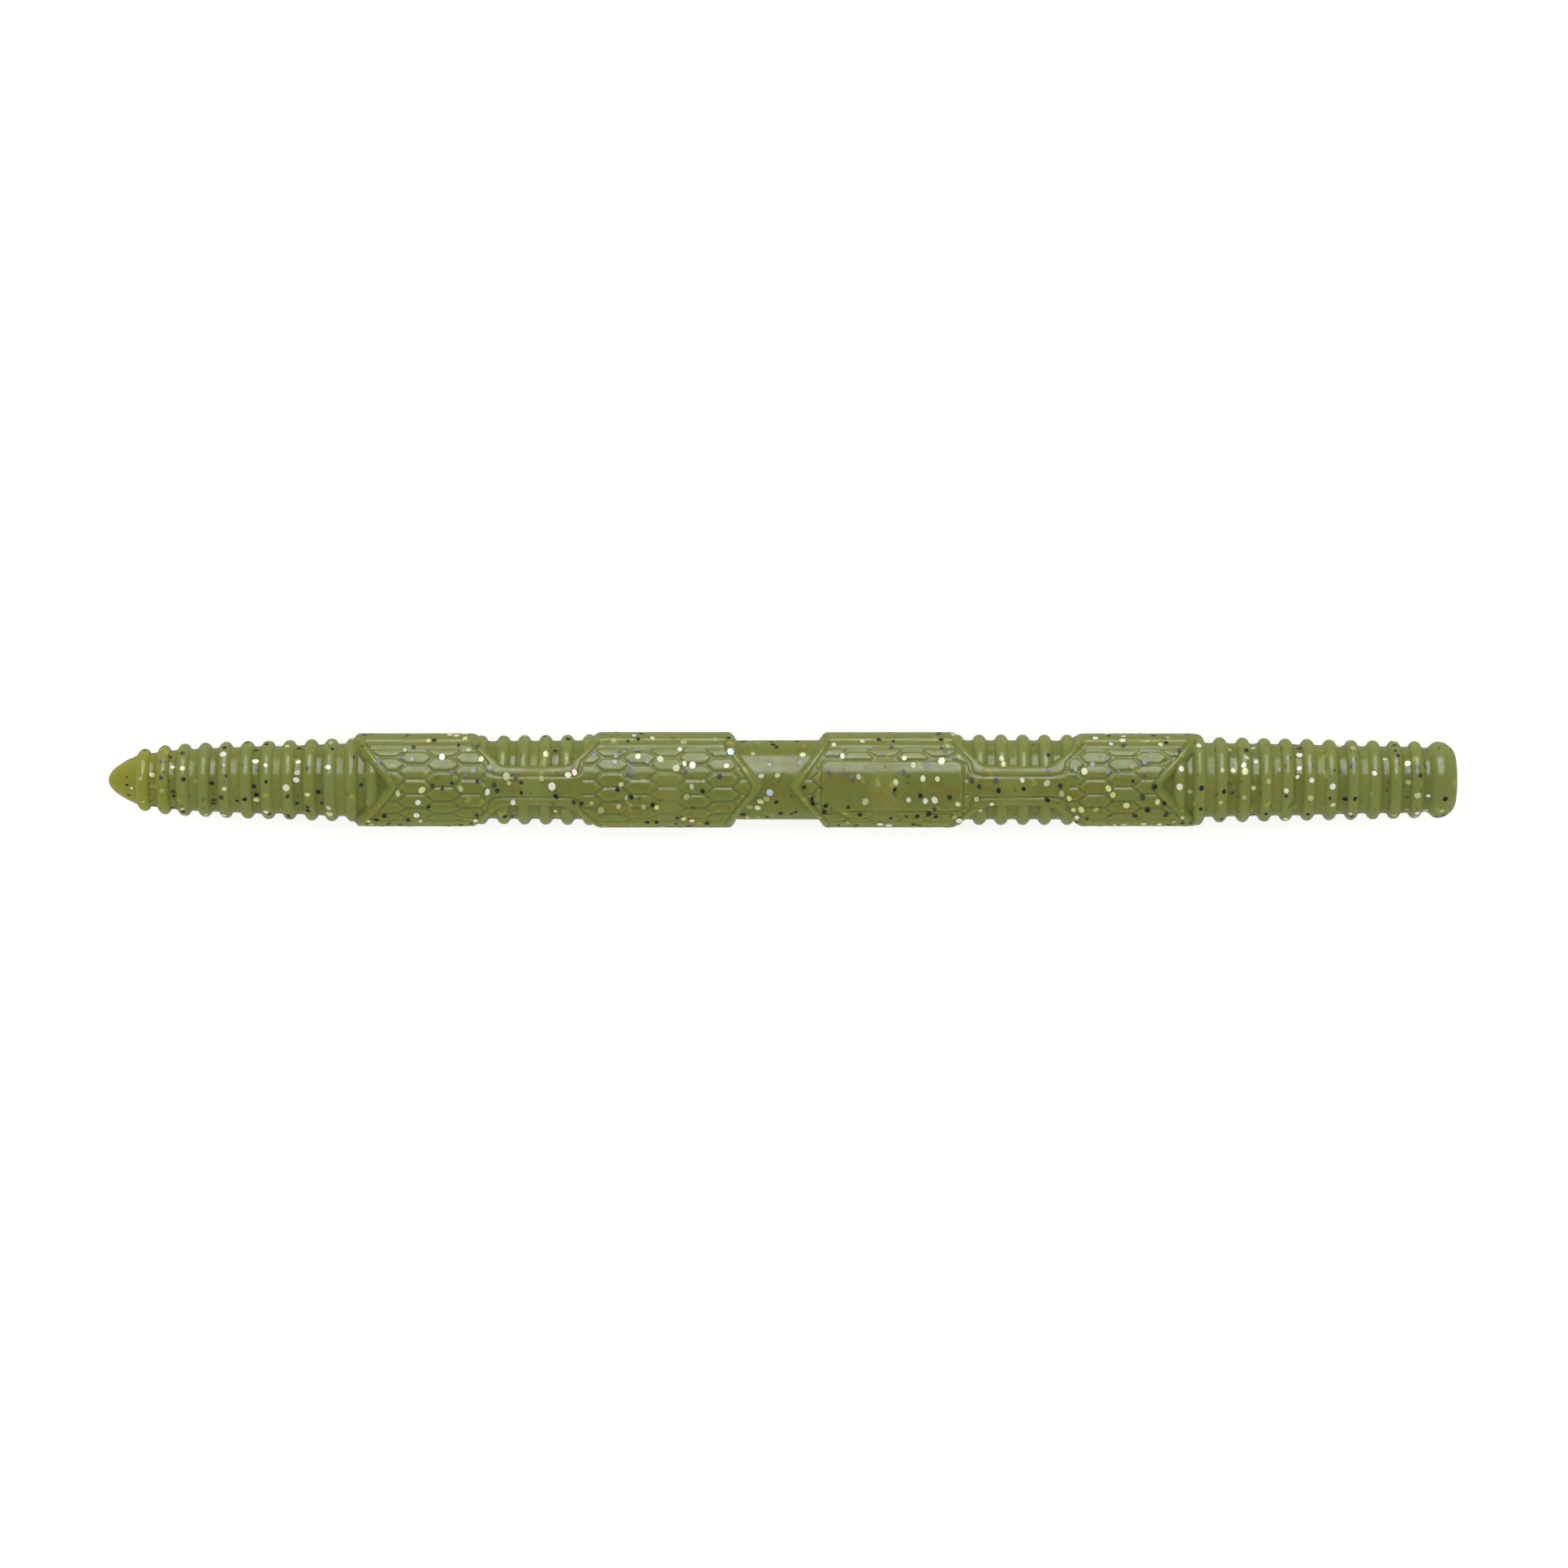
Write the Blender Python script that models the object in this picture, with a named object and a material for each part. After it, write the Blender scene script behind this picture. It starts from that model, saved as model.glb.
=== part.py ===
"""A ribbed soft plastic worm, 133 mm long, as a chain of fourteen bodies that meet at its flex lines.

Units are metres after scaling by MM, +X runs from the tail tip to the blunt head end, +Z is up.
Every station below is a distance in millimetres from the tail tip.
"""

import math

import bmesh
import bpy

MM = 0.001

# Overall sizes, in millimetres.
LENGTH = 133.35
AXIS_HEIGHT = 4.75
ROUND_SIDES = 16
PLATE_SIDES = 24

# A rib is a small bead round the body: its width at the foot and across its crest.
RIB_FOOT = 0.92
RIB_CREST = 0.46

# Rib crest stations with the crest radius and the radius of the groove beside it.
TAIL_RIBS = [
    (3.5, 3.08, 2.70), (5.5, 3.35, 2.88), (7.5, 3.52, 3.08), (9.6, 3.60, 3.14), (11.6, 3.74, 3.24),
    (13.7, 3.76, 3.34), (15.8, 3.81, 3.36), (17.8, 3.86, 3.38), (20.0, 3.92, 3.50), (22.1, 4.05, 3.55),
    (24.2, 4.12, 3.60),
]
REAR_WAIST_RIBS = [(station, 4.32, 3.85) for station in (39.1, 41.2, 43.2, 45.3, 47.5)]
FORE_WAIST_RIBS = [(station, 4.34, 3.85) for station in (84.0, 86.2, 88.3, 90.5, 92.6, 94.8)]
HEAD_RIBS = [
    (107.9, 4.20, 3.75), (110.0, 4.10, 3.70), (112.2, 4.10, 3.68), (114.3, 4.08, 3.62), (116.5, 4.00, 3.52),
    (118.6, 3.96, 3.46),
    (120.8, 3.86, 3.38), (123.0, 3.78, 3.30), (125.2, 3.80, 3.26), (127.2, 3.76, 3.22),
    (129.3, 3.74, 3.20),
]
MIDDLE_WAIST_RADIUS = 3.875

# The tail tip's rounded nose and the head's blunt end, as (station, radius).
TAIL_NOSE = [(0.0, 0.0), (0.10, 0.55), (0.35, 1.00), (0.90, 1.55), (1.70, 2.00), (2.75, 2.28)]
HEAD_CAP = [
    (130.70, 3.20), (131.05, 3.60), (131.55, 3.75), (132.20, 3.62), (132.80, 3.20), (133.20, 2.65),
    (133.35, 2.20),
]

# Flex lines: each gap is open by this much on either side of its hinge.
HALF_GAP = 0.53
SOCKET_CLEARANCE = 0.30
BALL_STEPS = 5
TAIL_HINGES = [(6.5, 2.05), (10.6, 2.35), (14.75, 2.55), (18.9, 2.62)]
REAR_WAIST_HINGES = [(40.15, 3.05), (44.25, 3.05)]
MIDDLE_HINGE = (66.1, 3.05)
FORE_WAIST_HINGES = [(87.25, 3.05), (91.55, 3.05)]
HEAD_HINGES = [(113.25, 2.80), (117.55, 2.65), (121.9, 2.52), (126.2, 2.42)]

# Plates: radius, and half of the outline seen from above as (station, half width) from tail to head.
BAND_HALF_WIDTH = 1.80
BAND_SETBACK = 0.25
WIDE = 6.0


def outline_half(points):
    """The outline of one plate: its points on one side, mirrored to the other."""
    return points + [(station, -across) for station, across in reversed(points) if across > 0]


PLATES = {
    "tail_plate": (4.60, [
        (27.9, 0.0), (23.9, 4.6), (23.9, WIDE), (35.9, WIDE), (36.1, 4.6), (38.9, BAND_HALF_WIDTH),
        (REAR_WAIST_HINGES[0][0] - HALF_GAP - BAND_SETBACK, BAND_HALF_WIDTH),
    ]),
    "rear_plate": (4.75, [
        (REAR_WAIST_HINGES[1][0] + HALF_GAP + BAND_SETBACK, BAND_HALF_WIDTH), (45.7, BAND_HALF_WIDTH),
        (48.6, 4.6), (48.8, WIDE), (61.2, WIDE), (61.4, 4.6), (65.0, 0.0),
    ]),
    "fore_plate": (4.70, [
        (67.2, 0.0), (70.9, 4.6), (71.1, WIDE), (83.5, WIDE), (83.7, 4.6), (86.35, BAND_HALF_WIDTH),
        (FORE_WAIST_HINGES[0][0] - HALF_GAP - BAND_SETBACK, BAND_HALF_WIDTH),
    ]),
    "head_plate": (4.60, [
        (FORE_WAIST_HINGES[1][0] + HALF_GAP + BAND_SETBACK, BAND_HALF_WIDTH), (93.5, BAND_HALF_WIDTH),
        (96.5, 4.6), (96.7, WIDE), (108.4, WIDE), (108.4, 4.6), (104.1, 0.0),
    ]),
}


def soft_plastic(name):
    """One body's own copy of the olive plastisol."""
    material = bpy.data.materials.new(name)
    material.use_nodes = True
    shader = material.node_tree.nodes["Principled BSDF"]
    shader.inputs["Base Color"].default_value = (0.18, 0.21, 0.045, 1.0)
    shader.inputs["Roughness"].default_value = 0.2
    return material


def place(station, radius, angle):
    """A point at a station along the worm, at a radius and an angle round it from straight down."""
    return (
        (station - LENGTH / 2) * MM,
        radius * math.sin(angle) * MM,
        (AXIS_HEIGHT - radius * math.cos(angle)) * MM,
    )


def revolve(name, profile, sides):
    """A closed solid turned about the worm's axis. The profile runs from axis to axis, tail to head.

    The flats measure the profile's radius and one of them faces straight down.
    """
    mesh = bmesh.new()
    rings = []
    for station, radius in profile:
        if radius == 0.0:
            rings.append([mesh.verts.new(place(station, 0.0, 0.0))])
            continue
        corner = radius / math.cos(math.pi / sides)
        angles = [(k + 0.5) * 2 * math.pi / sides for k in range(sides)]
        rings.append([mesh.verts.new(place(station, corner, angle)) for angle in angles])
    for ring, following in zip(rings, rings[1:]):
        for k in range(sides):
            after = (k + 1) % sides
            if len(ring) == 1:
                mesh.faces.new((ring[0], following[k], following[after]))
            elif len(following) == 1:
                mesh.faces.new((ring[k], following[0], ring[after]))
            else:
                mesh.faces.new((ring[k], following[k], following[after], ring[after]))
    bmesh.ops.recalc_face_normals(mesh, faces=mesh.faces)
    data = bpy.data.meshes.new(name)
    mesh.to_mesh(data)
    mesh.free()
    solid = bpy.data.objects.new(name, data)
    bpy.context.scene.collection.objects.link(solid)
    for face in data.polygons:
        face.use_smooth = True
    return solid


def prism(name, outline):
    """An upright prism through the whole height of the worm, from an outline of (station, across)."""
    mesh = bmesh.new()
    low = [mesh.verts.new(((s - LENGTH / 2) * MM, y * MM, -3.0 * MM)) for s, y in outline]
    high = [mesh.verts.new(((s - LENGTH / 2) * MM, y * MM, 13.0 * MM)) for s, y in outline]
    mesh.faces.new(low)
    mesh.faces.new(high)
    for k in range(len(outline)):
        after = (k + 1) % len(outline)
        mesh.faces.new((low[k], low[after], high[after], high[k]))
    bmesh.ops.recalc_face_normals(mesh, faces=mesh.faces)
    data = bpy.data.meshes.new(name)
    mesh.to_mesh(data)
    mesh.free()
    solid = bpy.data.objects.new(name, data)
    bpy.context.scene.collection.objects.link(solid)
    return solid


def as_cutter(solid):
    solid.hide_render = True
    solid.display_type = "WIRE"


def combine(solid, other, operation):
    modifier = solid.modifiers.new(operation.lower() + "_" + other.name, "BOOLEAN")
    modifier.operation = operation
    modifier.solver = "EXACT"
    modifier.object = other


def ball_end(hinge, side):
    """Profile points of the ball at one end, from the axis to where it meets its own body's end face.

    side is -1 for a ball at the tail end of a body and +1 for one at its head end.
    """
    station, radius = hinge
    reach = math.pi / 2 + math.asin(HALF_GAP / radius)
    points = []
    for k in range(BALL_STEPS + 1):
        angle = reach * k / BALL_STEPS
        points.append((station + side * radius * math.cos(angle), radius * math.sin(angle) if k else 0.0))
    return points


def socket_end(hinge, side):
    """Profile points of a socket at one end, from its bottom on the axis to its mouth at the end face.

    side is -1 for a socket at the tail end of a body and +1 for one at its head end.
    """
    station, ball = hinge
    radius = ball + SOCKET_CLEARANCE
    reach = math.acos(HALF_GAP / radius)
    points = []
    for k in range(BALL_STEPS + 1):
        angle = reach * k / BALL_STEPS
        points.append((station - side * radius * math.cos(angle), radius * math.sin(angle) if k else 0.0))
    return points


def ribbed(start, end, ribs):
    """Profile points of the ribbed outside between two end faces."""
    inside = [rib for rib in ribs if start < rib[0] < end]
    points = [(start, inside[0][2])]
    for station, crest, groove in inside:
        if station - RIB_FOOT / 2 - points[-1][0] > 0.15:
            points.append((station - RIB_FOOT / 2, groove))
        points.append((station - RIB_CREST / 2, crest))
        points.append((station + RIB_CREST / 2, crest))
        if end - station - RIB_FOOT / 2 > 0.15:
            points.append((station + RIB_FOOT / 2, groove))
    points.append((end, inside[-1][2]))
    return points


def socket_cutter(name, hinge):
    """A ball as wide as the socket, which hollows one end of a plate's body."""
    station, ball = hinge
    radius = ball + SOCKET_CLEARANCE
    steps = 2 * BALL_STEPS
    profile = []
    for k in range(steps + 1):
        angle = math.pi * (1 - k / steps)
        across = 0.0 if k in (0, steps) else radius * math.sin(angle)
        profile.append((station + radius * math.cos(angle), across))
    cutter = revolve(name, profile, ROUND_SIDES)
    as_cutter(cutter)
    return cutter


def plated(name, core_profile, socket_hinges):
    """A plate's body: the core turned as one solid, the plate laid round it, then its sockets hollowed."""
    body = revolve(name, core_profile, ROUND_SIDES)
    radius, half = PLATES[name]
    stations = [station for station, _ in half]
    low, high = min(stations) - 1.0, max(stations) + 1.0
    shell = revolve(name + "_shell", [(low, 0.0), (low, radius), (high, radius), (high, 0.0)], PLATE_SIDES)
    as_cutter(shell)
    outline = prism(name + "_outline", outline_half(half))
    as_cutter(outline)
    combine(shell, outline, "INTERSECT")
    combine(body, shell, "UNION")
    for number, hinge in enumerate(socket_hinges):
        combine(body, socket_cutter(f"{name}_socket_{number}", hinge), "DIFFERENCE")
    return body


for old in list(bpy.data.objects):
    bpy.data.objects.remove(old, do_unlink=True)

bodies = []

# The tail: a nose and ten ribs, two ribs to a body, each with a ball towards the head.
first_face = TAIL_HINGES[0][0] - HALF_GAP
nose_ribs = ribbed(2.95, first_face, TAIL_RIBS)[1:]
bodies.append(revolve("tail_tip", TAIL_NOSE + nose_ribs + ball_end(TAIL_HINGES[0], 1)[::-1], ROUND_SIDES))
tail_names = ("tail_ribs_outer", "tail_ribs_middle", "tail_ribs_inner")
for name, low, high in zip(tail_names, TAIL_HINGES, TAIL_HINGES[1:]):
    outside = ribbed(low[0] + HALF_GAP, high[0] - HALF_GAP, TAIL_RIBS)
    profile = socket_end(low, -1) + outside + ball_end(high, 1)[::-1]
    bodies.append(revolve(name, profile, ROUND_SIDES))

# The tail plate with the last two tail ribs and the near part of the rear waist.
start, end = TAIL_HINGES[3][0] + HALF_GAP, REAR_WAIST_HINGES[0][0] - HALF_GAP
core = [(start, 0.0)] + ribbed(start, 25.2, TAIL_RIBS) + ribbed(36.5, end, REAR_WAIST_RIBS) + [(end, 0.0)]
bodies.append(plated("tail_plate", core, [TAIL_HINGES[3], REAR_WAIST_HINGES[0]]))


def waist(name, hinges, ribs, band_radius):
    """A short ribbed waist with a ball at each end and a smooth band on its front and its back."""
    low, high = hinges[0][0] + HALF_GAP, hinges[1][0] - HALF_GAP
    profile = ball_end(hinges[0], -1) + ribbed(low, high, ribs) + ball_end(hinges[1], 1)[::-1]
    body = revolve(name, profile, ROUND_SIDES)
    shell = revolve(
        name + "_shell",
        [(low - 1.0, 0.0), (low - 1.0, band_radius), (high + 1.0, band_radius), (high + 1.0, 0.0)],
        PLATE_SIDES,
    )
    as_cutter(shell)
    half = [(low + BAND_SETBACK, BAND_HALF_WIDTH), (high - BAND_SETBACK, BAND_HALF_WIDTH)]
    outline = prism(name + "_outline", outline_half(half))
    as_cutter(outline)
    combine(shell, outline, "INTERSECT")
    combine(body, shell, "UNION")
    return body


bodies.append(waist("rear_waist", REAR_WAIST_HINGES, REAR_WAIST_RIBS, 4.60))

# The rear plate carries the near half of the smooth middle waist and its ball.
start, end = REAR_WAIST_HINGES[1][0] + HALF_GAP, MIDDLE_HINGE[0] - HALF_GAP
core = [(start, 0.0)] + ribbed(start, 48.4, REAR_WAIST_RIBS)
core += [(52.0, MIDDLE_WAIST_RADIUS), (end, MIDDLE_WAIST_RADIUS)] + ball_end(MIDDLE_HINGE, 1)[::-1]
bodies.append(plated("rear_plate", core, [REAR_WAIST_HINGES[1]]))

# The fore plate carries the other half of the smooth waist, with a socket at each end.
start, end = MIDDLE_HINGE[0] + HALF_GAP, FORE_WAIST_HINGES[0][0] - HALF_GAP
core = [(start, 0.0), (start, MIDDLE_WAIST_RADIUS), (80.0, MIDDLE_WAIST_RADIUS)]
core += ribbed(83.2, end, FORE_WAIST_RIBS) + [(end, 0.0)]
bodies.append(plated("fore_plate", core, [MIDDLE_HINGE, FORE_WAIST_HINGES[0]]))

bodies.append(waist("fore_waist", FORE_WAIST_HINGES, FORE_WAIST_RIBS, 4.60))

# The head plate with the first two head ribs.
start, end = FORE_WAIST_HINGES[1][0] + HALF_GAP, HEAD_HINGES[0][0] - HALF_GAP
core = [(start, 0.0)] + ribbed(start, 95.8, FORE_WAIST_RIBS)
core += ribbed(106.9, end, HEAD_RIBS) + [(end, 0.0)]
bodies.append(plated("head_plate", core, [FORE_WAIST_HINGES[1], HEAD_HINGES[0]]))

# The head: ribs two to a body, each with a ball towards the tail, then the blunt end.
head_names = ("head_ribs_inner", "head_ribs_middle", "head_ribs_outer")
for name, low, high in zip(head_names, HEAD_HINGES, HEAD_HINGES[1:]):
    outside = ribbed(low[0] + HALF_GAP, high[0] - HALF_GAP, HEAD_RIBS)
    profile = ball_end(low, -1) + outside + socket_end(high, 1)[::-1]
    bodies.append(revolve(name, profile, ROUND_SIDES))
outside = ribbed(HEAD_HINGES[3][0] + HALF_GAP, 130.3, HEAD_RIBS)[:-1]
profile = ball_end(HEAD_HINGES[3], -1) + outside + HEAD_CAP + [(LENGTH, 0.0)]
bodies.append(revolve("head_end", profile, ROUND_SIDES))

for body in bodies:
    body.data.materials.append(soft_plastic(body.name + "_plastic"))
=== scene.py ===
import math
import random

import bpy
import numpy as np
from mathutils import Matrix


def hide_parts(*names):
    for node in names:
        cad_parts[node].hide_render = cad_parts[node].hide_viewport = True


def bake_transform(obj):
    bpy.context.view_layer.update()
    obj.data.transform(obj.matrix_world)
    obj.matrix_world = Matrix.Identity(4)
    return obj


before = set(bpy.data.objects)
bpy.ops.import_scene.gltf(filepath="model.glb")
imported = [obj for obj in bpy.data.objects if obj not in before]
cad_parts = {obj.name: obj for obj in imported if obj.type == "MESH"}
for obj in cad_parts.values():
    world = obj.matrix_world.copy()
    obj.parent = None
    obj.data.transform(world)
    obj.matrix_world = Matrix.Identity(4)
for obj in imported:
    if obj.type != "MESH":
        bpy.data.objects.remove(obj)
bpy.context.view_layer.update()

# ---------------------------------------------------------------------------------------------
# Camera. It looks almost straight down on the worm from a little over half a metre, leaning
# nine degrees towards +Y, with a lens that keeps the worm small in a square frame.
# ---------------------------------------------------------------------------------------------
LEAN = math.radians(9.0)
CAMERA_DISTANCE = 0.600
AIM = (0.0002, -0.00042, 0.00475)
LENS = 139.1
SENSOR = 36.0
NEAREST = 0.05
FARTHEST = 20.0

camera_data = bpy.data.cameras.new("camera")
camera_data.lens = LENS
camera_data.sensor_width = SENSOR
camera_data.clip_start = NEAREST
camera_data.clip_end = FARTHEST
camera = bpy.data.objects.new("camera", camera_data)
bpy.context.scene.collection.objects.link(camera)
camera.location = (
    AIM[0],
    AIM[1] + CAMERA_DISTANCE * math.sin(LEAN),
    AIM[2] + CAMERA_DISTANCE * math.cos(LEAN),
)
camera.rotation_euler = (-LEAN, 0.0, 0.0)
bpy.context.scene.camera = camera
bpy.context.scene.view_settings.view_transform = "Standard"


# ---------------------------------------------------------------------------------------------
# Table and studio lights. A white acrylic sheet lit a little from below, one big softbox low over
# the far side, which draws the pale stripe along the worm, and an even pale room all round.
# ---------------------------------------------------------------------------------------------
TABLE_SIZE = 6.0
TABLE_WHITE = (0.93, 0.93, 0.93, 1.0)
TABLE_GLOW = 0.38
ROOM_GLOW = 0.90
ROOM_GLOSS = 0.32
WHITE = (1.0, 1.0, 1.0, 1.0)

bpy.ops.object.select_all(action="DESELECT")
bpy.ops.mesh.primitive_plane_add(size=TABLE_SIZE, location=(0.0, 0.0, 0.0))
table = bpy.context.object
table.name = "table"
table_material = bpy.data.materials.new("white_acrylic")
table_material.use_nodes = True
table_shader = table_material.node_tree.nodes["Principled BSDF"]
table_shader.inputs["Base Color"].default_value = TABLE_WHITE
table_shader.inputs["Roughness"].default_value = 0.9
table_shader.inputs["Specular IOR Level"].default_value = 0.1
table_shader.inputs["Emission Color"].default_value = WHITE
table_shader.inputs["Emission Strength"].default_value = TABLE_GLOW
table.data.materials.append(table_material)
# The worm mirrors the softboxes far more than the table and the room, as it would with dark
# cloths hung around it.
table.visible_glossy = False

world = bpy.data.worlds.new("room")
world.use_nodes = True
room = world.node_tree
background = room.nodes["Background"]
background.inputs["Color"].default_value = WHITE
light_path = room.nodes.new("ShaderNodeLightPath")
room_strength = room.nodes.new("ShaderNodeMapRange")
room_strength.inputs["To Min"].default_value = ROOM_GLOW
room_strength.inputs["To Max"].default_value = ROOM_GLOSS
room.links.new(light_path.outputs["Is Glossy Ray"], room_strength.inputs["Value"])
room.links.new(room_strength.outputs[0], background.inputs["Strength"])
bpy.context.scene.world = world

SOFTBOX_TILT = math.radians(56)
SOFTBOX_DISTANCE = 0.9
SOFTBOX_SIZE = 0.95
SOFTBOX_COLOUR = (0.95, 1.0, 0.97)
SOFTBOX_POWER = {"softbox": 1.3, "gloss_softbox": 100.0}

for name, power in SOFTBOX_POWER.items():
    softbox_data = bpy.data.lights.new(name, "AREA")
    softbox_data.shape = "SQUARE"
    softbox_data.size = SOFTBOX_SIZE
    softbox_data.energy = power
    softbox_data.color = SOFTBOX_COLOUR
    softbox = bpy.data.objects.new(name, softbox_data)
    bpy.context.scene.collection.objects.link(softbox)
    softbox.location = (
        0.0,
        SOFTBOX_DISTANCE * math.sin(SOFTBOX_TILT),
        SOFTBOX_DISTANCE * math.cos(SOFTBOX_TILT),
    )
    softbox.rotation_euler = (-SOFTBOX_TILT, 0.0, 0.0)
    # Most of its light is kept for the gloss, so that the worm's own colour stays even all round.
    softbox.visible_diffuse = name == "softbox"


# ---------------------------------------------------------------------------------------------
# The moulding. One soft casting of clear olive plastic: ringed at both ends, four plates joined in
# pairs by a front and a back band, and lines of long hexagons sunk into every plate. Distances are
# in mm, stations run from the tail tip, and angles are turned from the front centre line.
# ---------------------------------------------------------------------------------------------
MM = 0.001
LENGTH = 133.35
AXIS_HEIGHT = 4.75
# The rings' half width, the two powers that round their tops, and how far the valleys between
# them reach and how much they sag.
RIB_HALF_WIDTH = 0.66
RIB_ROUNDNESS = (2.3, 0.72)
VALLEY_REACH = 1.05
VALLEY_SAG = 0.06

# Every ring: its station and the radius of its top.
TAIL_RIBS = [
    (3.55, 3.09), (5.55, 3.41), (7.55, 3.59), (9.6, 3.67), (11.65, 3.77), (13.8, 3.84),
    (15.85, 3.89), (17.95, 3.94), (20.1, 4.03), (22.1, 4.09), (24.2, 4.15), (26.3, 4.20),
]
REAR_WAIST_RIBS = [
    (36.95, 4.40), (39.15, 4.39), (41.2, 4.43), (43.3, 4.44), (45.45, 4.47), (47.6, 4.50),
]
FORE_WAIST_RIBS = [(station, 4.48) for station in (84.0, 86.2, 88.35, 90.5, 92.65, 94.9)]
HEAD_RIBS = [
    (105.8, 4.34), (107.8, 4.50), (110.0, 4.22), (112.25, 4.19), (114.4, 4.13), (116.5, 4.09),
    (118.65, 4.05), (120.85, 3.99), (123.0, 3.95), (125.15, 3.91), (127.2, 3.87), (129.3, 3.81),
]
RIBS = TAIL_RIBS + REAR_WAIST_RIBS + FORE_WAIST_RIBS + HEAD_RIBS
# The casting's radius along its length with rings and plates left off.
CORE = [
    (2.8, 2.38), (4.5, 2.65), (6.5, 2.91), (8.55, 3.06), (10.6, 3.15), (12.65, 3.23), (14.75, 3.31),
    (16.8, 3.345), (18.9, 3.40), (21.05, 3.50), (23.15, 3.59), (26.0, 3.65), (36.0, 3.82),
    (48.0, 3.90), (62.0, 3.91), (70.0, 3.93), (84.0, 3.92), (96.0, 3.89), (106.0, 3.73),
    (108.95, 3.66), (111.1, 3.61), (113.25, 3.57), (117.55, 3.50), (121.9, 3.39), (124.1, 3.33),
    (128.25, 3.27), (130.4, 3.18),
]
# The tip swells from a rounded point, and the head end is a thick rounded cap.
TIP_LENGTH = 2.75
TIP_SWELL = 1.44
TIP_POWER = 0.49
CAP = [
    (130.4, 3.18), (130.55, 3.21), (130.72, 3.31), (130.9, 3.50), (131.1, 3.67), (131.35, 3.76),
    (131.6, 3.79), (131.9, 3.76), (132.2, 3.66), (132.5, 3.50), (132.8, 3.28), (133.02, 3.04),
    (133.18, 2.78), (133.27, 2.50), (133.32, 2.15),
]

# Each plate: for its tail edge and its head edge the station on the front centre line, how far
# the edge moves per mm across, and the station where it stops at the sides.
PLATES = {
    "tail": {"tail_edge": (27.9, -0.87, 23.55), "head_edge": (38.9, -1.0, 36.2), "columns": 27.9},
    "rear": {"tail_edge": (45.7, 1.0, 48.75), "head_edge": (65.0, -0.80, 62.1), "columns": 49.97},
    "fore": {"tail_edge": (67.2, 0.80, 70.5), "head_edge": (86.4, -1.0, 83.85), "columns": 76.8},
    "head": {"tail_edge": (93.5, 1.0, 96.5), "head_edge": (104.1, 0.93, 108.8), "columns": 100.26},
}
# Radius of the plates' and bands' tops along the casting.
TOPS = [(38.0, 4.61), (46.5, 4.733), (66.0, 4.733), (67.0, 4.72), (86.0, 4.72), (94.0, 4.59)]
# Where the two bands start and end, a little way inside the plates they join.
BANDS = [(36.9, 47.7), (84.4, 95.5)]
BAND_HALF_WIDTH = 2.28
# How wide the rounded edge of a plate or band is, and the power that rounds it.
WALL = 0.62
WALL_ROUNDNESS = 2.2
# How far inside a band's and a plate's edge the rim line runs, and how softly the two join.
BAND_GROOVE = 1.22
RIM_GROOVE = 0.90
MERGE = 0.40
# The point of a plate's V: how blunt it is, how far that sets it back, and how soft its corners.
POINT_BLUNT = 0.45
POINT_BACK = 0.18
CORNER_SOFT = 0.35
# Every sunk line: its depth, and how far from its middle it starts and stops rising.
TILE_GROOVE_DEPTH = 0.17
LINE_FLOOR = 0.05
LINE_EDGE = 0.19
HEX_LINE = (0.06, 0.25)
SIDE_GROOVES = (math.radians(52.0), math.radians(66.0))
HEX_PITCH = 2.72
HEX_ROW = 1.53
HEX_LONG = 3.59
HEX_FLAT = 1.85
# The blank panel on the front of the fore plate.
PANEL_CENTRE = 77.5
PANEL_HALF_LENGTH = 6.9
PANEL_HALF_ANGLE = math.radians(32.0)
PANEL_CORNER = 0.7
PANEL_INSET = 0.1
# A distance that counts as well outside a plate or band.
OUTSIDE = -9.0


def smooth(edge, far, value):
    """0 before edge and 1 past far, eased."""
    t = np.clip((value - edge) / (far - edge), 0, 1)
    return t * t * (3 - 2 * t)


def raised(inside):
    """How far up the rounded edge of a plate or band a point is, from 0 at the foot to 1 on top."""
    return 1 - (1 - np.clip(inside / WALL, 0, 1)) ** WALL_ROUNDNESS


def sunk_line(distance):
    """How much of its full depth a sunk line has at a distance from its middle."""
    return 1 - smooth(LINE_FLOOR, LINE_EDGE, np.abs(distance))


def along_table(table, station):
    """A size read at a station from a list of (station, size)."""
    return np.interp(station, [s for s, _ in table], [size for _, size in table])


def core_radius(station):
    """Radius of the casting with its rings and plates left off."""
    tip = TIP_SWELL * np.clip(station, 0, None) ** TIP_POWER
    behind_tip = np.where(
        station > CAP[0][0], along_table(CAP, station), along_table(CORE, station)
    )
    return np.where(station < TIP_LENGTH, tip, behind_tip)


def rib_height(station):
    """How far the rings stand out of the core: round beads with a small fillet at the foot."""
    height = np.zeros_like(station)
    flat, steep = RIB_ROUNDNESS
    for centre, crest in RIBS:
        away = np.abs(station - centre)
        t = np.clip(away / RIB_HALF_WIDTH, 0, 1)
        bead = (crest - along_table(CORE, centre)) * (1 - t ** flat) ** steep
        t = np.clip((VALLEY_REACH - away) / (VALLEY_REACH - RIB_HALF_WIDTH), 0, 1.3)
        height = np.maximum(height, np.maximum(bead, VALLEY_SAG * t ** 2))
    return height


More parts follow.
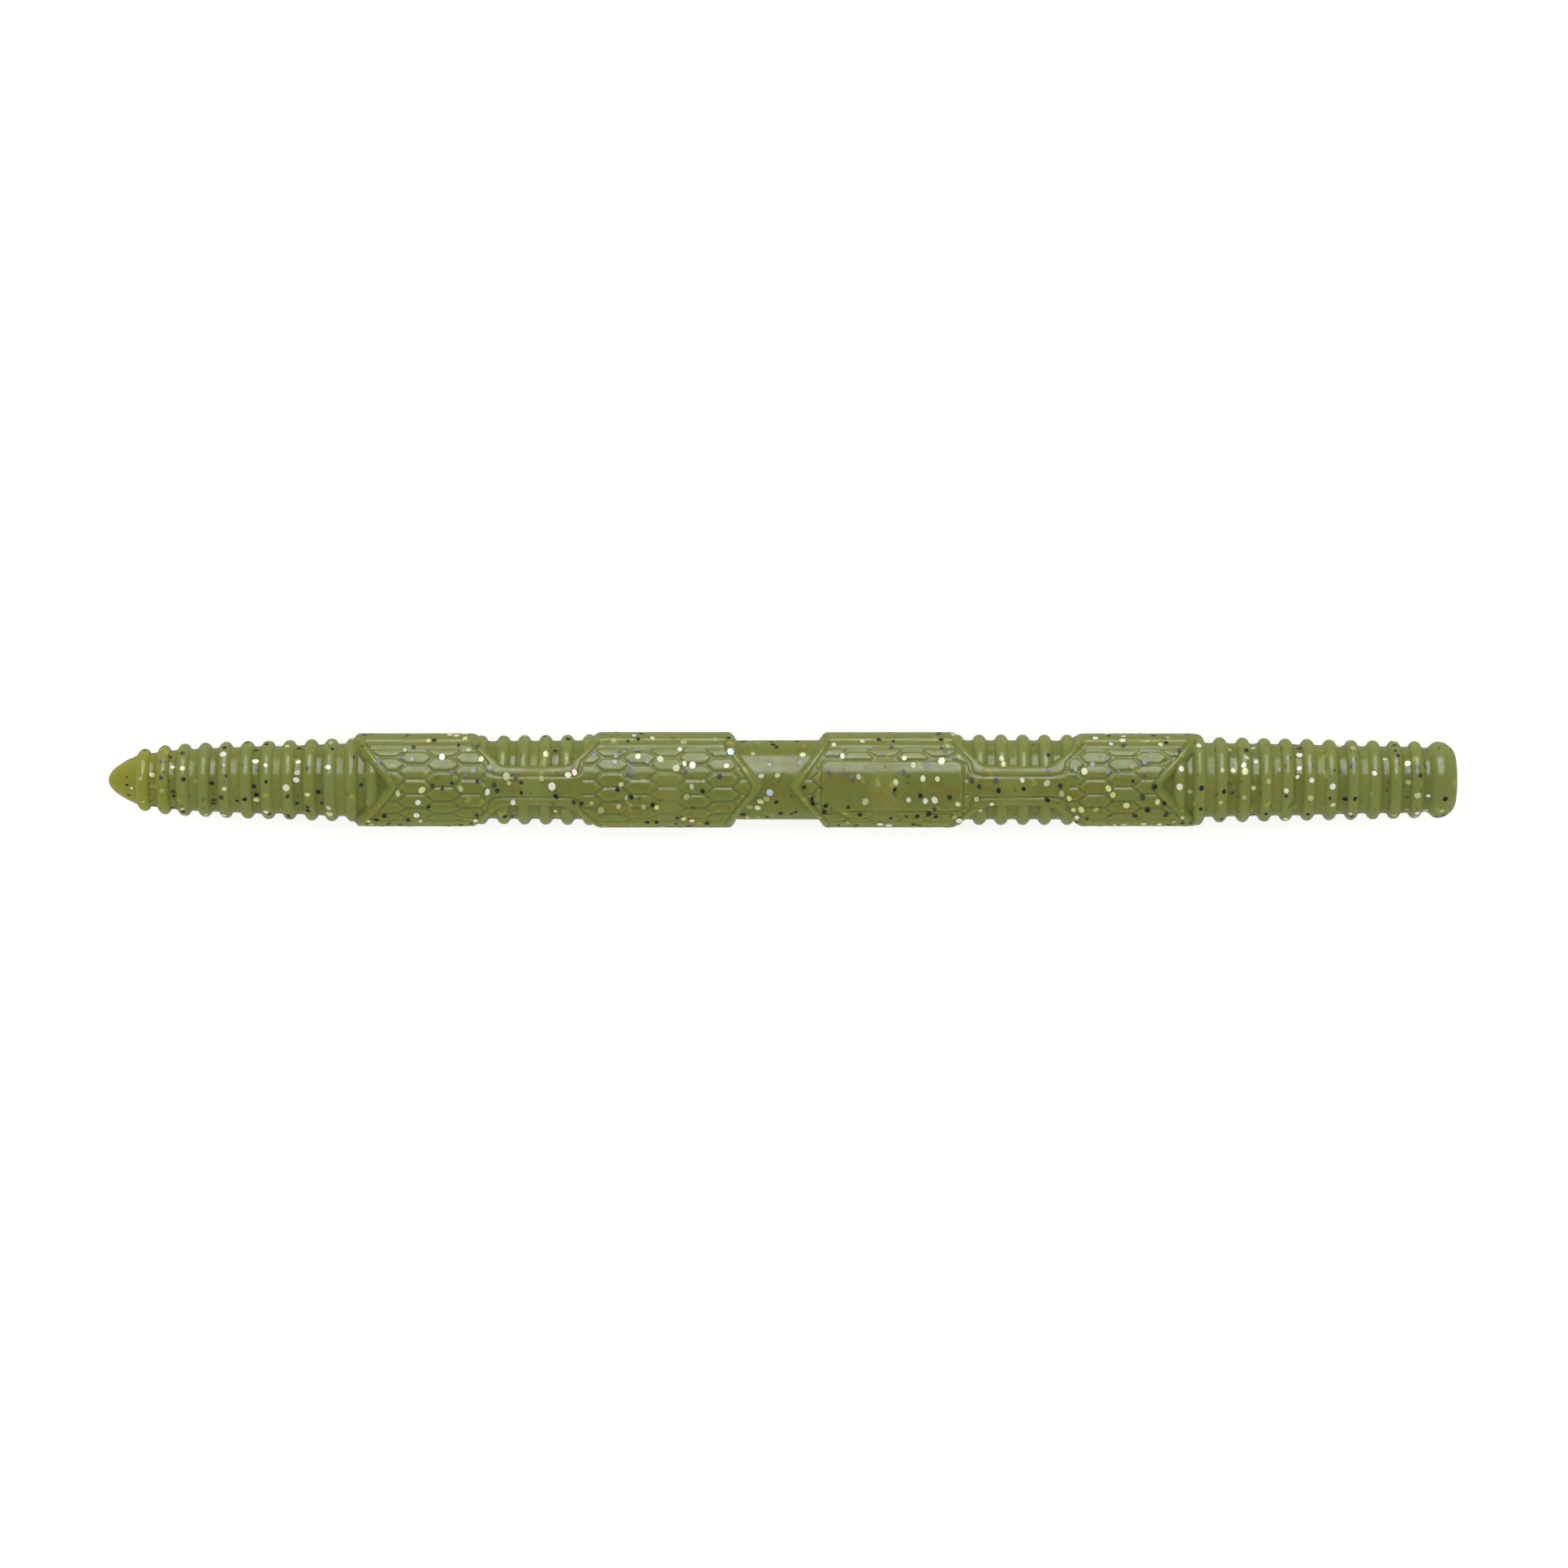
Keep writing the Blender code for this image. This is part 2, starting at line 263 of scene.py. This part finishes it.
def hex_inside(along, around):
    """Distance to the border of the hexagon a point is in, in a honeycomb of long hexagons."""
    best = np.full(np.broadcast(along, around).shape, OUTSIDE)
    column = np.round(along / HEX_PITCH)
    taper = (HEX_LONG - HEX_FLAT) / 2
    for step in (-1, 0, 1):
        c = column + step
        shift = np.where(np.mod(c, 2) == 0, 0.5, 0.0)
        row = np.round(around / HEX_ROW - shift) + shift
        dx = np.abs(along - c * HEX_PITCH)
        da = np.abs(around - row * HEX_ROW)
        slant = (HEX_LONG / 2 - dx) * (HEX_ROW / 2) - da * taper
        slant = slant / math.hypot(HEX_ROW / 2, taper)
        best = np.maximum(best, np.minimum(HEX_ROW / 2 - da, slant))
    return best


def edge_inside(edge, station, across, forward):
    """Distance inside one end edge of a plate: a V, or a straight front with slanted shoulders."""
    centre, slope, stop = edge
    y = np.sqrt(across ** 2 + POINT_BLUNT ** 2) - POINT_BACK
    # An edge that a band leaves from is straight as far as the band is wide.
    reach = np.maximum(y - BAND_HALF_WIDTH, 0) if abs(slope) == 1.0 else y
    scale = -math.copysign(CORNER_SOFT, slope)
    at = scale * np.log(np.exp((centre + slope * reach) / scale) + math.exp(stop / scale))
    return forward * (station - at) / math.hypot(1, slope)


def panel_inside(station, around, full):
    """Distance inside the rounded border of the blank panel."""
    dx = np.abs(station - PANEL_CENTRE) - PANEL_HALF_LENGTH + PANEL_CORNER
    dy = np.abs(around) - full * PANEL_HALF_ANGLE + PANEL_CORNER
    beyond = np.hypot(np.maximum(dx, 0), np.maximum(dy, 0))
    return PANEL_CORNER - beyond - np.minimum(np.maximum(dx, dy), 0)


def merged(first, second):
    """The larger of two distances, rounded off where they meet."""
    apart = np.abs(first - second)
    return np.maximum(first, second) + MERGE * np.log1p(np.exp(-apart / MERGE))


def skin_relief(station, angle, lined=True):
    """Radius of the skin, how much of it is ring, and how deep in a line of the pattern it is."""
    core = core_radius(station) * np.ones_like(angle)
    rib = rib_height(station) * np.ones_like(angle)
    full = along_table(TOPS, station) * np.ones_like(angle)
    across = full * np.sin(angle)
    folded = np.arcsin(np.clip(np.abs(np.sin(angle)), 0, 1))
    around = full * folded * np.sign(np.sin(angle))
    front = np.cos(angle) > 0
    raised_inside = np.full_like(core, OUTSIDE)
    outline = np.full_like(core, OUTSIDE)
    lines = np.zeros_like(core)
    for start, end in BANDS:
        beside = (station > start) & (station < end)
        inside = np.where(beside, BAND_HALF_WIDTH - np.abs(across), OUTSIDE)
        raised_inside = np.maximum(raised_inside, inside)
        outline = np.maximum(outline, inside - BAND_GROOVE)
    for name, plate in PLATES.items():
        inside = np.minimum(
            edge_inside(plate["tail_edge"], station, across, 1),
            edge_inside(plate["head_edge"], station, across, -1),
        )
        raised_inside = merged(raised_inside, inside)
        outline = merged(outline, inside - RIM_GROOVE)
        field = np.minimum(inside - RIM_GROOVE, full * (SIDE_GROOVES[0] - folded))
        hexes = 1 - smooth(*HEX_LINE, hex_inside(station - plate["columns"], around))
        hexes = hexes * smooth(0.0, 0.12, field)
        for place in SIDE_GROOVES:
            side = sunk_line(full * (folded - place))
            hexes = np.maximum(hexes, side * smooth(-0.05, 0.1, inside - RIM_GROOVE))
        if name == "fore":
            panel = np.where(front, panel_inside(station, around, full), OUTSIDE)
            hexes = hexes * (1 - smooth(-0.22, -0.12, panel))
            hexes = np.maximum(hexes, sunk_line(panel + PANEL_INSET))
        lines = np.maximum(lines, hexes)
    rim = sunk_line(outline) * smooth(-0.1, 0.1, full * (SIDE_GROOVES[1] - folded))
    lines = np.maximum(lines, rim)
    if not lined:
        lines = np.zeros_like(core)
    wall = raised(raised_inside)
    top = core + (full - TILE_GROOVE_DEPTH * lines - core) * wall
    radius = np.maximum(core + rib, top)
    sunk = np.where(top >= core + rib, lines * wall, 0)
    thin = np.clip(rib / 0.6, 0, 1) * (1 - wall)
    return radius, thin, sunk


# Near a cut between two lengths the plastic loses its inner glow, from the first of these
# distances to the second, in mm. CUT_FREE stands for an end that is no cut.
CUT_NEAR = 0.5
CUT_FAR = 2.0
CUT_FREE = 9


def put_attributes(skin, start, end):
    """Stores each point's place in the unbent casting in mm, and its ring, line and cut shares."""
    mesh = skin.data
    flat = np.empty(len(mesh.vertices) * 3, np.float32)
    mesh.vertices.foreach_get("co", flat)
    rest = flat.reshape(-1, 3).astype(np.float64) / MM
    station = rest[:, 0] + LENGTH / 2
    angle = np.arctan2(rest[:, 1], rest[:, 2] - AXIS_HEIGHT)
    _, thin, sunk = skin_relief(station, angle)
    from_start = station - start if start > 0 else CUT_FREE
    from_end = end - station if end < LENGTH else CUT_FREE
    cut = 1 - smooth(CUT_NEAR, CUT_FAR, np.minimum(from_start, from_end))
    for share, values in (("cut", cut), ("thin", thin), ("sunk", sunk)):
        layer = mesh.attributes.new(share, "FLOAT", "POINT")
        layer.data.foreach_set("value", values.astype(np.float32))
    layer = mesh.attributes.new("rest", "FLOAT_VECTOR", "POINT")
    layer.data.foreach_set("vector", rest.astype(np.float32).ravel())


def mesh_from(name, points, faces):
    """A smooth mesh object from arrays of points in mm and faces with equal numbers of corners."""
    mesh = bpy.data.meshes.new(name)
    mesh.from_pydata((points * MM).tolist(), [], faces)
    mesh.update(calc_edges=True)
    mesh.shade_smooth()
    piece = bpy.data.objects.new(name, mesh)
    bpy.context.scene.collection.objects.link(piece)
    return piece


def close_ends(skin):
    """Covers the open ends of a length of skin, without tying them to its smooth outside."""
    bpy.ops.object.select_all(action="DESELECT")
    bpy.context.view_layer.objects.active = skin
    skin.select_set(True)
    bpy.ops.object.mode_set(mode="EDIT")
    bpy.ops.mesh.select_mode(type="VERT")
    bpy.ops.mesh.select_all(action="DESELECT")
    bpy.ops.mesh.select_non_manifold()
    bpy.ops.mesh.fill_holes(sides=0)
    bpy.ops.mesh.select_all(action="SELECT")
    bpy.ops.mesh.normals_make_consistent(inside=False)
    bpy.ops.mesh.select_mode(type="FACE")
    bpy.ops.mesh.select_all(action="DESELECT")
    bpy.ops.mesh.select_face_by_sides(number=4, type="GREATER")
    bpy.ops.mesh.split()
    bpy.ops.object.mode_set(mode="OBJECT")
    bpy.ops.object.shade_smooth()
    return skin


def relief_skin(name, start, end, step=0.09, around=288):
    """A length of the casting, its relief raised point by point on a tube."""
    rows = int(round((end - start) / step)) + 1
    stations = np.linspace(start, end, rows)[:, None] + np.zeros((1, around))
    angles = np.zeros((rows, 1)) + (np.arange(around) * 2 * np.pi / around)[None, :]
    radius, _, _ = skin_relief(stations, angles)
    y = radius * np.sin(angles)
    z = AXIS_HEIGHT + radius * np.cos(angles)
    points = np.stack([stations - LENGTH / 2, y, z], axis=-1).reshape(-1, 3)
    i = np.arange(rows - 1)[:, None] * around
    j = np.arange(around)[None, :]
    k = (j + 1) % around
    quads = np.stack([i + j, i + around + j, i + around + k, i + k], axis=-1).reshape(-1, 4)
    return close_ends(mesh_from(name, points, quads.tolist()))


def turned_skin(name, profile, segments=96):
    """A length of the casting spun from its profile of (station, radius)."""
    bpy.ops.object.select_all(action="DESELECT")
    mesh = bpy.data.meshes.new(name)
    points = [((s - LENGTH / 2) * MM, 0.0, (AXIS_HEIGHT + r) * MM) for s, r in profile]
    mesh.from_pydata(points, [(k, k + 1) for k in range(len(points) - 1)], [])
    skin = bpy.data.objects.new(name, mesh)
    bpy.context.scene.collection.objects.link(skin)
    bpy.context.view_layer.objects.active = skin
    skin.select_set(True)
    bpy.ops.object.mode_set(mode="EDIT")
    bpy.ops.mesh.select_all(action="SELECT")
    middle = (0, 0, AXIS_HEIGHT * MM)
    bpy.ops.mesh.spin(steps=segments, angle=2 * math.pi, center=middle, axis=(1, 0, 0))
    bpy.ops.mesh.select_all(action="SELECT")
    bpy.ops.mesh.remove_doubles(threshold=1e-7)
    bpy.ops.object.mode_set(mode="OBJECT")
    return close_ends(skin)


def ring_profile(start, end, step=0.07):
    """The outline of a length of the casting, rings and all, as (station, radius)."""
    stations = np.linspace(start, end, int(round((end - start) / step)) + 1)
    radii = core_radius(stations) + rib_height(stations)
    return list(zip(stations.tolist(), radii.tolist()))


TIP_STEPS = 22
tip_stations = [TIP_LENGTH * (k / TIP_STEPS) ** 2.0 for k in range(TIP_STEPS)]
tip = [(station, float(core_radius(np.array(station)))) for station in tip_stations]
end_face = [(133.33, 1.0), (133.33, 0.0)]

# Each length of skin: where it starts and ends, the two bodies it bends between, the station of
# that hinge, and the nodes it stands for.
BENDS = {
    "tail_tip_skin": (
        0.0, 8.55, "tail_tip", "tail_ribs_outer", 6.5, ["tail_tip", "tail_ribs_outer"],
    ),
    "tail_outer_skin": (
        8.55, 12.65, "tail_ribs_outer", "tail_ribs_middle", 10.6, ["tail_ribs_middle"],
    ),
    "tail_middle_skin": (
        12.65, 16.8, "tail_ribs_middle", "tail_ribs_inner", 14.75, ["tail_ribs_inner"],
    ),
    "tail_inner_skin": (16.8, 23.15, "tail_ribs_inner", "tail_plate", 18.9, ["tail_plate"]),
    "tail_plate_skin": (23.15, 42.2, "tail_plate", "rear_waist", 40.15, ["rear_waist"]),
    "rear_waist_skin": (42.2, 55.41, "rear_waist", "rear_plate", 44.25, ["rear_plate"]),
    "middle_waist_skin": (55.41, 76.8, "rear_plate", "fore_plate", 66.1, ["fore_plate"]),
    "fore_waist_skin": (76.8, 89.4, "fore_plate", "fore_waist", 87.25, ["fore_waist"]),
    "head_plate_skin": (89.4, 108.95, "head_plate", "fore_waist", 91.55, ["head_plate"]),
    "head_inner_skin": (
        108.95, 115.4, "head_plate", "head_ribs_inner", 113.25, ["head_ribs_inner"],
    ),
    "head_middle_skin": (
        115.4, 119.7, "head_ribs_inner", "head_ribs_middle", 117.55, ["head_ribs_middle"],
    ),
    "head_outer_skin": (
        119.7, 124.1, "head_ribs_middle", "head_ribs_outer", 121.9, ["head_ribs_outer"],
    ),
    "head_end_skin": (124.1, 133.35, "head_ribs_outer", "head_end", 126.2, ["head_end"]),
}
# The lengths with plates and bands. The others are round, so they are spun.
RELIEF_SKINS = {
    "tail_plate_skin", "rear_waist_skin", "middle_waist_skin", "fore_waist_skin",
    "head_plate_skin",
}


def bend(piece):
    """Bakes a piece's transform into its mesh."""
    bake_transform(piece)


class Wire:
    """A socket in a material. Arithmetic on it adds the Math nodes that work it out."""

    def __init__(self, tree, socket=None):
        self.tree = tree
        self.socket = socket

    def node(self, kind, settings, inputs, output=0):
        made = self.tree.nodes.new(kind)
        for key, value in settings.items():
            setattr(made, key, value)
        for key, value in inputs.items():
            if isinstance(value, Wire):
                self.tree.links.new(value.socket, made.inputs[key])
            else:
                made.inputs[key].default_value = value
        return Wire(self.tree, made.outputs[output])

    def math(self, operation, first, second):
        return self.node("ShaderNodeMath", {"operation": operation}, {0: first, 1: second})

    def __add__(self, other):
        return self.math("ADD", self, other)

    def __mul__(self, other):
        return self.math("MULTIPLY", self, other)

    def __sub__(self, other):
        return self.math("SUBTRACT", self, other)

    def __rsub__(self, other):
        return self.math("SUBTRACT", other, self)

    def __gt__(self, other):
        return self.math("GREATER_THAN", self, other)

    __radd__ = __add__
    __rmul__ = __mul__

    def ramp(self, low, high):
        """0 at low and 1 at high, eased."""
        settings = {"interpolation_type": "SMOOTHSTEP"}
        inputs = {"Value": self, "From Min": low, "From Max": high}
        return self.node("ShaderNodeMapRange", settings, inputs)

    def colours(self, first, second):
        """The colour between two colours that this share gives."""
        inputs = {0: self, 6: first, 7: second}
        return self.node("ShaderNodeMix", {"data_type": "RGBA"}, inputs, 2)


def attribute(wire, name, output):
    """What the mesh stores under this name."""
    return wire.node("ShaderNodeAttribute", {"attribute_name": name}, {}, output)


# The plastic's colours, and how much of each lies over the last. The paler colour laid on the
# rings, the sunk lines and the end, and the paler tip colour, are painted light.
OLIVE = (0.168, 0.204, 0.042, 1.0)
BROWN_OLIVE = (0.190, 0.181, 0.028, 1.0)
GREY_OLIVE = (0.207, 0.234, 0.066, 1.0)
TIP_LIT_OLIVE = (0.270, 0.268, 0.036, 1.0)
BURIED_PALE = (0.420, 0.410, 0.090, 1.0)
BURIED_DARK = (0.060, 0.070, 0.016, 1.0)
GRAIN_SHARE = 0.5
RING_LIGHT_SHARE = 0.65
LINE_LIGHT_SHARE = 0.55
END_LIGHT_SHARE = 0.7
PALE_SHARE = 0.45
DARK_SHARE = 0.65
# Where the paler tip fades in and where the paler end does, in mm from the casting's middle; both
# are painted light shining through the plastic.
TIP_FADE = (-57.0, -66.0)
END_FADE = (63.4, 64.6)
SWELL_HEIGHT = 0.00006
GLOW_DEPTH = 0.0015
GLOW_REACH = (1.0, 1.0, 0.35)

plastic = bpy.data.materials.new("olive_plastisol")
plastic.use_nodes = True
shader = plastic.node_tree.nodes["Principled BSDF"]
wire = Wire(plastic.node_tree)
rest = attribute(wire, "rest", "Vector")
thin = attribute(wire, "thin", "Fac")
sunk = attribute(wire, "sunk", "Fac")


def noise(scale, detail, output=0):
    """Cloudiness that lies still in the casting, finer with a greater scale."""
    inputs = {"Vector": rest, "Scale": scale, "Detail": detail}
    return wire.node("ShaderNodeTexNoise", {}, inputs, output)


def buried(scale, size, share, offset):
    """Soft round spots, some distance under the skin, in a share of the cells of a 3-D scatter."""
    adding = {"operation": "ADD"}
    moved = wire.node("ShaderNodeVectorMath", adding, {0: rest, 1: (offset, offset, offset)})
    ruffle = noise(1.6, 1.0, "Color")
    moved = wire.node("ShaderNodeVectorMath", adding, {0: moved, 1: ruffle})
    inputs = {"Vector": moved, "Scale": scale}
    near = wire.node("ShaderNodeTexVoronoi", {}, inputs, "Distance")
    cell = wire.node("ShaderNodeTexVoronoi", {}, inputs, "Color")
    chance = wire.node("ShaderNodeSeparateColor", {}, {"Color": cell}, 0)
    return near.ramp(size, size * 0.45) * (chance > 1 - share)


cloud = noise(0.55, 4.0).ramp(0.38, 0.62)
grain = noise(1.9, 3.0).ramp(0.35, 0.68)
along = wire.node("ShaderNodeSeparateXYZ", {}, {"Vector": rest}, "X")
colour = cloud.colours(OLIVE, BROWN_OLIVE)
colour = (grain * GRAIN_SHARE).colours(colour, GREY_OLIVE)
# Painted light: the rings are painted paler and greyer, for the light that shines through their
# thin plastic.
colour = (thin * RING_LIGHT_SHARE).colours(colour, GREY_OLIVE)
# Painted light: the sunk lines are painted paler, lifting the shade that gathers in them.
colour = (sunk * LINE_LIGHT_SHARE).colours(colour, GREY_OLIVE)
# Painted light: the tip is painted paler and yellower, for the light that shines through its thin
# plastic.
colour = along.ramp(*TIP_FADE).colours(colour, TIP_LIT_OLIVE)
# Painted light: the end is painted paler, for the light that shines through the plastic there.
colour = (along.ramp(*END_FADE) * END_LIGHT_SHARE).colours(colour, GREY_OLIVE)
pale_spots = buried(scale=0.70, size=0.30, share=0.30, offset=3.0)
colour = (pale_spots * PALE_SHARE).colours(colour, BURIED_PALE)
dark_spots = buried(scale=0.95, size=0.24, share=0.35, offset=7.0)
colour = (dark_spots * DARK_SHARE).colours(colour, BURIED_DARK)
roughness = 0.07 + noise(1.4, 3.0) * 0.06
swell = wire.node(
    "ShaderNodeBump", {}, {"Height": noise(2.0, 3.0), "Strength": 0.22, "Distance": SWELL_HEIGHT}
)
# The plastic glows softly from inside. Close to a cut it is plain, so that no cut shows as a line.
surface = {"Base Color": colour, "Roughness": roughness, "Normal": swell, "IOR": 1.40}
glow = {
    "Subsurface Weight": 1.0,
    "Subsurface Radius": GLOW_REACH,
    "Subsurface Scale": GLOW_DEPTH,
}
deep = wire.node("ShaderNodeBsdfPrincipled", {}, {**surface, **glow})
plain = wire.node("ShaderNodeBsdfPrincipled", {}, surface)
cut = attribute(wire, "cut", "Fac")
both = wire.node("ShaderNodeMixShader", {}, {0: cut, 1: deep, 2: plain})
plastic.node_tree.nodes.remove(shader)
output = plastic.node_tree.nodes["Material Output"]
plastic.node_tree.links.new(both.socket, output.inputs["Surface"])

for name, (start, end, first, second, hinge, nodes) in BENDS.items():
    if name in RELIEF_SKINS:
        skin = relief_skin(name, start, end)
    else:
        profile = ring_profile(max(start, TIP_LENGTH), min(end, CAP[0][0]))
        if start == 0:
            profile = tip + profile
        if end == LENGTH:
            profile = profile + CAP[1:] + end_face
        skin = turned_skin(name, profile)
    put_attributes(skin, start, end)
    skin.data.materials.append(plastic)
    bend(skin)
    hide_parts(*nodes)


# ---------------------------------------------------------------------------------------------
# The glitter. Six-sided chips of black and of pearly film, stirred into the plastic before it is
# cast. The ones that show sharply lie right under the skin and follow it.
# ---------------------------------------------------------------------------------------------
# How far a chip's face stands over the plastic and how far it reaches into it, the most that the
# skin may rise under one chip, and how many there are for each mm of the casting.
CHIP_LIFT = 0.016
CHIP_DEPTH = 0.05
MOST_STEP = 0.20
BLACK_PER_MM = 3.9
BRIGHT_PER_MM = 3.3
BLACK_SIZES = (0.20, 0.30)
BRIGHT_SIZES = (0.24, 0.40)
# The radius that turns a distance across a chip into an angle round the casting.
TYPICAL_RADIUS = 4.0
# Chips stay between these stations, clear of the very tip and of the cap's edge.
FIRST_CHIP = 0.35
LAST_CHIP = 132.9
CHIP_GAP = 0.05
# What share of its size a chip keeps the middle of the next one away from.
CROWDING = 0.85
# Radius of the flat middle of the head end that chips are scattered over, how many, and how far
# inside the very end their faces lie.
END_FACE = 1.7
ON_END_FACE = 6
END_FACE_INSET = 0.005

chips = random.Random(57)
placed = []


def chip_outline(station, angle, size):
    """Stations and angles of a chip's middle, an inner ring of six, its corners and half-ways."""
    turn = chips.uniform(0, math.pi / 3)
    squash = chips.uniform(0.72, 1.0)
    skew = chips.uniform(0, math.pi)
    stations, angles = [station], [angle]
    for ring, reach in enumerate((0.5, 1.0, math.cos(math.pi / 6))):
        for corner in range(6):
            theta = turn + (corner + (0.5 if ring == 2 else 0)) * math.pi / 3
            u = size * reach * math.cos(theta)
            v = size * reach * squash * math.sin(theta)
            stations.append(station + u * math.cos(skew) - v * math.sin(skew))
            angles.append(angle + (u * math.sin(skew) + v * math.cos(skew)) / TYPICAL_RADIUS)
    return np.array(stations), np.array(angles)


def crowded(station, angle, size):
    """Whether a chip would lie over one that is already there."""
    for other_station, other_angle, keep in placed:
        round_it = TYPICAL_RADIUS * math.remainder(angle - other_angle, 2 * math.pi)
        if math.hypot(station - other_station, round_it) < size + keep:
            return True
    return False


def chip_faces(base):
    """The faces of one chip: a top in two rings, a rim down into the plastic, and a bottom."""
    faces = []
    for k in range(6):
        inner, beyond = 1 + k, 1 + (k + 1) % 6
        corner, half, following = 7 + k, 13 + k, 7 + (k + 1) % 6
        faces += [(0, beyond, inner), (inner, half, corner)]
        faces += [(inner, beyond, half), (beyond, following, half)]
    rim = [k for pair in zip(range(7, 13), range(13, 19)) for k in pair]
    for k in range(12):
        here, there = rim[k], rim[(k + 1) % 12]
        faces += [(here, there, there + 13), (here, there + 13, here + 13)]
        faces.append((19, here + 13, there + 13))
    return [tuple(base + k for k in face) for face in faces]


def end_chip(size):
    """A flat chip on the head end: its twelve points and its faces."""
    out = END_FACE * math.sqrt(chips.random())
    angle = chips.uniform(0, 2 * math.pi)
    turn = chips.uniform(0, math.pi / 3)
    points = []
    for depth in (END_FACE_INSET, CHIP_DEPTH):
        for corner in range(6):
            theta = turn + corner * math.pi / 3
            y = out * math.sin(angle) + size * math.sin(theta)
            z = out * math.cos(angle) + size * math.cos(theta)
            points.append((LENGTH / 2 - depth, y, AXIS_HEIGHT + z))
    faces = [[5, 4, 3, 2, 1, 0], [6, 7, 8, 9, 10, 11]]
    faces += [(k, (k + 1) % 6, (k + 1) % 6 + 6, k + 6) for k in range(6)]
    return points, faces


def chip_mesh(name, start, end, count, sizes, on_face=0):
    """Six-sided chips scattered over a length of the skin, each with its own tone and hue."""
    points, faces, tones, hues = [], [], [], []
    made = 0
    while made < count:
        size = chips.uniform(*sizes)
        margin = size + CHIP_GAP
        station = chips.uniform(max(start, FIRST_CHIP) + margin, min(end, LAST_CHIP) - margin)
        angle = chips.uniform(0, 2 * math.pi)
        s, a = chip_outline(station, angle, size)
        tone, hue = chips.random(), chips.random()
        s = np.clip(s, start, end)
        r = skin_relief(s, a, lined=False)[0]
        if r.max() - r.min() > MOST_STEP or crowded(s[0], a[0], size):
            continue
        placed.append((s[0], a[0], size * CROWDING))
        made += 1
        faces += chip_faces(len(points))
        # Its top is the whole outline, and its bottom the middle, the corners and the half-ways.
        top = [(k, CHIP_LIFT) for k in range(19)]
        bottom = [(k, -CHIP_DEPTH) for k in [0] + list(range(7, 19))]
        for k, lift in top + bottom:
            y = (r[k] + lift) * math.sin(a[k])
            z = (r[k] + lift) * math.cos(a[k])
            points.append((s[k] - LENGTH / 2, y, AXIS_HEIGHT + z))
        tones += [tone] * (len(top) + len(bottom))
        hues += [hue] * (len(top) + len(bottom))
    for _ in range(on_face):
        chip_points, own_faces = end_chip(chips.uniform(*sizes))
        tone, hue = chips.random(), chips.random()
        faces += [[len(points) + k for k in face] for face in own_faces]
        points += chip_points
        tones += [tone] * len(chip_points)
        hues += [hue] * len(chip_points)
    piece = mesh_from(name, np.array(points), faces)
    for share, values in (("tone", tones), ("hue", hues)):
        layer = piece.data.attributes.new(share, "FLOAT", "POINT")
        layer.data.foreach_set("value", np.array(values, np.float32))
    piece.data.shade_flat()
    return piece


def film(name):
    """A new material for chips, with its shader and a wire to start from."""
    material = bpy.data.materials.new(name)
    material.use_nodes = True
    shader = material.node_tree.nodes["Principled BSDF"]
    return material, shader, Wire(material.node_tree)


def feed(shader, name, wire):
    """Links a wire to one of the shader's sockets."""
    wire.tree.links.new(wire.socket, shader.inputs[name])


JET = (0.010, 0.010, 0.006, 1.0)
SMOKED = (0.040, 0.045, 0.018, 1.0)

black_film, shader, wire = film("black_film")
tone = attribute(wire, "tone", "Fac")
feed(shader, "Base Color", tone.ramp(0.45, 1.0).colours(JET, SMOKED))
feed(shader, "Roughness", 0.2 + tone * 0.1)

SILVER = (0.70, 0.72, 0.60, 1.0)
PALE_GOLD = (0.60, 0.60, 0.26, 1.0)
PINK = (0.78, 0.58, 0.48, 1.0)
SKY = (0.45, 0.66, 0.72, 1.0)
DEEPER = (0.34, 0.36, 0.12, 1.0)

pearl_film, shader, wire = film("pearl_film")
tone = attribute(wire, "tone", "Fac")
hue = attribute(wire, "hue", "Fac")
colour = hue.ramp(0.30, 0.60).colours(SILVER, PALE_GOLD)
colour = (hue > 0.90).colours(colour, PINK)
colour = (hue > 0.96).colours(colour, SKY)
feed(shader, "Base Color", tone.ramp(0.45, 0.95).colours(colour, DEEPER))
feed(shader, "Roughness", 0.30 + tone * 0.15)
shader.inputs["Specular IOR Level"].default_value = 0.2

for name, (start, end, first, second, hinge, _) in BENDS.items():
    on_face = ON_END_FACE if end == LENGTH else 0
    black_count = round((end - start) * BLACK_PER_MM)
    bright_count = round((end - start) * BRIGHT_PER_MM)
    black_name = name.replace("skin", "black_chips")
    bright_name = name.replace("skin", "bright_chips")
    black = chip_mesh(black_name, start, end, black_count, BLACK_SIZES, on_face)
    bright = chip_mesh(bright_name, start, end, bright_count, BRIGHT_SIZES, on_face)
    black.data.materials.append(black_film)
    bright.data.materials.append(pearl_film)
    bend(black)
    bend(bright)
